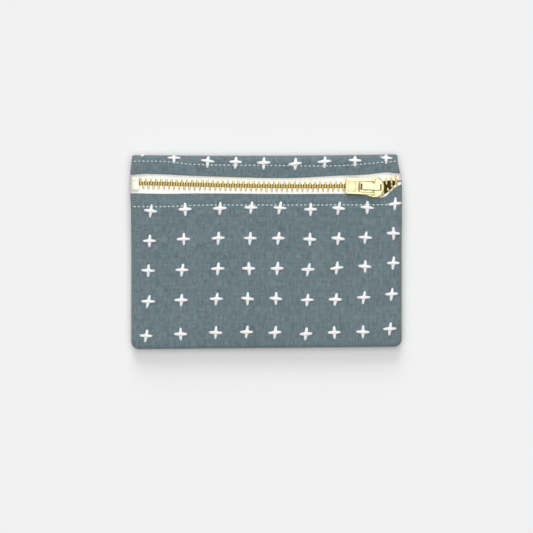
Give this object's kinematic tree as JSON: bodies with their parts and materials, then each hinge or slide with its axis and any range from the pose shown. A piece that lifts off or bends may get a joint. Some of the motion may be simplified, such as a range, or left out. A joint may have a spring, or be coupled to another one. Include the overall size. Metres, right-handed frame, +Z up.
{
  "type": "zippered pouch",
  "caption": "Flat rectangular cloth pouch, lined, with a metal zip across the front near its top edge, a self-locking slider and a slotted pull tab.",
  "frame": {"origin": "centre of the footprint on the surface the pouch lies on, at the flat underside of the back panel", "axes": "+X along the zip towards its closed end, +Y towards the top fold, +Z up out of the front face"},
  "size_m": [0.1404, 0.1001, 0.013],
  "materials": {
    "slate_twill": "matt brushed twill",
    "lining_cotton": "plain cotton",
    "zip_tape": "woven tape",
    "zip_brass": "polished",
    "slider_brass": "polished",
    "spring_steel": "satin",
    "sewing_thread": "spun thread"
  },
  "bodies": {
    "pouch": {"front_panel": "slate_twill", "back_panel": "slate_twill", "front_lining": "lining_cotton", "back_lining": "lining_cotton", "upper_tape": "zip_tape", "lower_tape": "zip_tape", "upper_teeth": "zip_brass", "lower_teeth": "zip_brass", "bottom_stop": "zip_brass", "upper_top_stop": "zip_brass", "lower_top_stop": "zip_brass", "upper_topstitch": "sewing_thread", "lower_topstitch": "sewing_thread", "left_side_seam": "sewing_thread", "right_side_seam": "sewing_thread", "bottom_seam": "sewing_thread"},
    "slider": {"slider_body": "slider_brass", "slider_crown": "slider_brass", "lock_pin": "spring_steel"},
    "pull": {"pull_tab": "slider_brass"}
  },
  "joints": [
    {"name": "slider_slide", "type": "slide", "parent": "pouch", "child": "slider", "axis": [1, 0, 0], "range_m": [-0.109, 0.003], "deforming": ["upper_teeth", "lower_teeth"]},
    {"name": "pull_hinge", "type": "hinge", "parent": "slider", "child": "pull", "pos_m": [0.0553, 0.0334, 0.0107], "axis": [0, 1, 0], "range_deg": [0, 180]}
  ]
}
